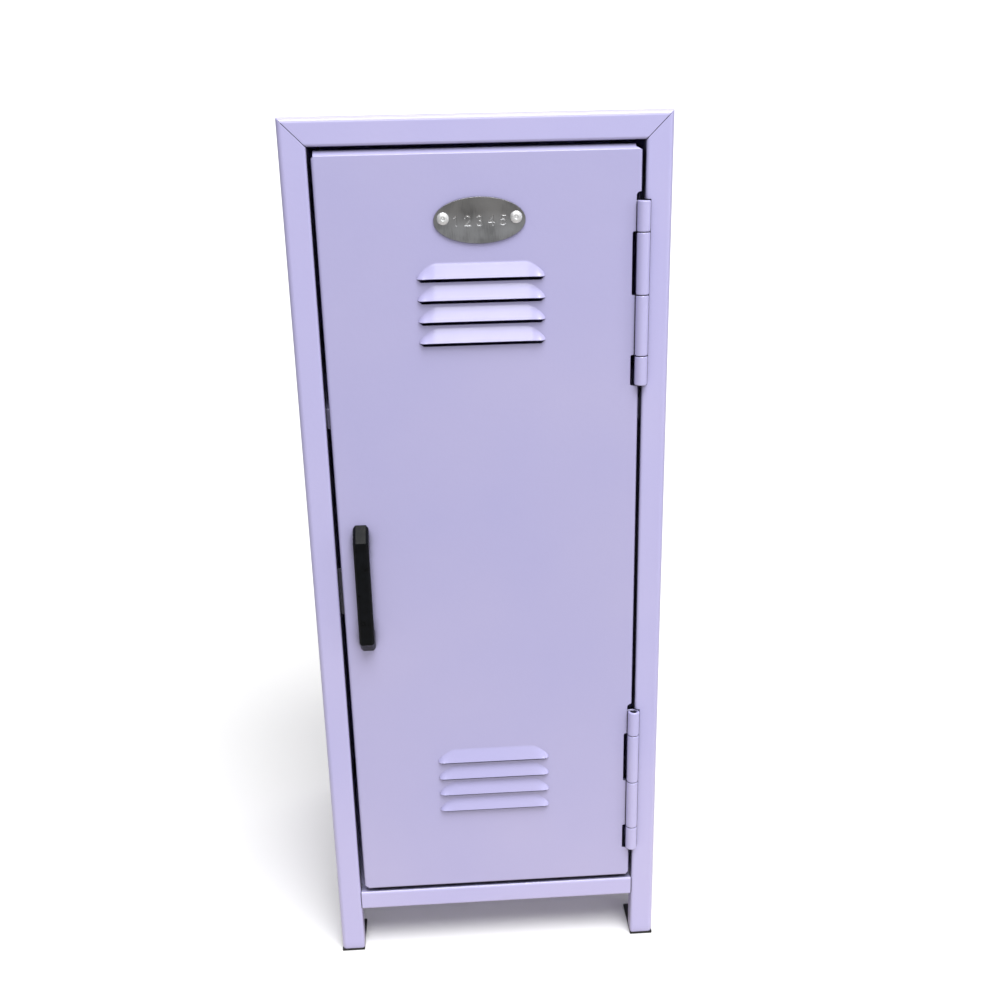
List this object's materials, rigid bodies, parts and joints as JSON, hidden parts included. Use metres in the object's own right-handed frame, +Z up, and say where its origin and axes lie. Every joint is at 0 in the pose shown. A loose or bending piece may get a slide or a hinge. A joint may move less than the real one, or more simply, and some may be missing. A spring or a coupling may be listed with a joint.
{
  "type": "mini metal locker",
  "caption": "Small lavender steel locker on four legs: louvred door on two butt hinges, black bar pull, oval number plate, magnetic catch and one inner shelf.",
  "frame": {"origin": "on the floor, at the centre of the bounding box's underside, handle included", "axes": "+Z up, -Y towards the front (the door side), +X towards the hinge side"},
  "size_m": [0.203, 0.212, 0.514],
  "materials": {
    "paint": "smooth satin powder coat, lavender",
    "plate_steel": "brushed",
    "rivet_aluminium": "satin",
    "zinc_steel": "zinc plated",
    "black_plastic": "satin black",
    "white_plastic": "moulded, off-white",
    "ferrite": "sintered grey-black ferrite",
    "foot_rubber": "matt black"
  },
  "bodies": {
    "cabinet": {"left_side_panel": "paint", "right_side_panel": "paint", "top_panel": "paint", "bottom_panel": "paint", "back_panel": "paint", "shelf": "paint", "shelf_support_left": "paint", "shelf_support_right": "paint", "shelf_rivet_left_front": "rivet_aluminium", "shelf_rivet_left_rear": "rivet_aluminium", "shelf_rivet_right_front": "rivet_aluminium", "shelf_rivet_right_rear": "rivet_aluminium", "coat_hook": "zinc_steel", "hook_bolt": "zinc_steel", "hook_nut": "zinc_steel", "lower_hinge_frame_leaf": "paint", "lower_hinge_pin": "zinc_steel", "upper_hinge_frame_leaf": "paint", "upper_hinge_pin": "zinc_steel", "catch_bracket": "paint", "catch_housing": "white_plastic", "catch_magnet": "ferrite", "catch_screw_upper": "zinc_steel", "catch_screw_lower": "zinc_steel", "foot_front_left": "foot_rubber", "foot_front_right": "foot_rubber", "foot_rear_left": "foot_rubber", "foot_rear_right": "foot_rubber"},
    "door": {"door_panel": "paint", "lower_hinge_door_leaf": "paint", "upper_hinge_door_leaf": "paint", "number_plate": "plate_steel", "plate_rivet_left": "rivet_aluminium", "plate_rivet_right": "rivet_aluminium", "door_handle": "black_plastic", "handle_screw_upper": "zinc_steel", "handle_screw_lower": "zinc_steel"}
  },
  "joints": [
    {"name": "door_hinge", "type": "hinge", "parent": "cabinet", "child": "door", "pos_m": [0.0862, -0.0978, 0.27], "axis": [0, 0, 1], "range_deg": [0, 175]}
  ]
}
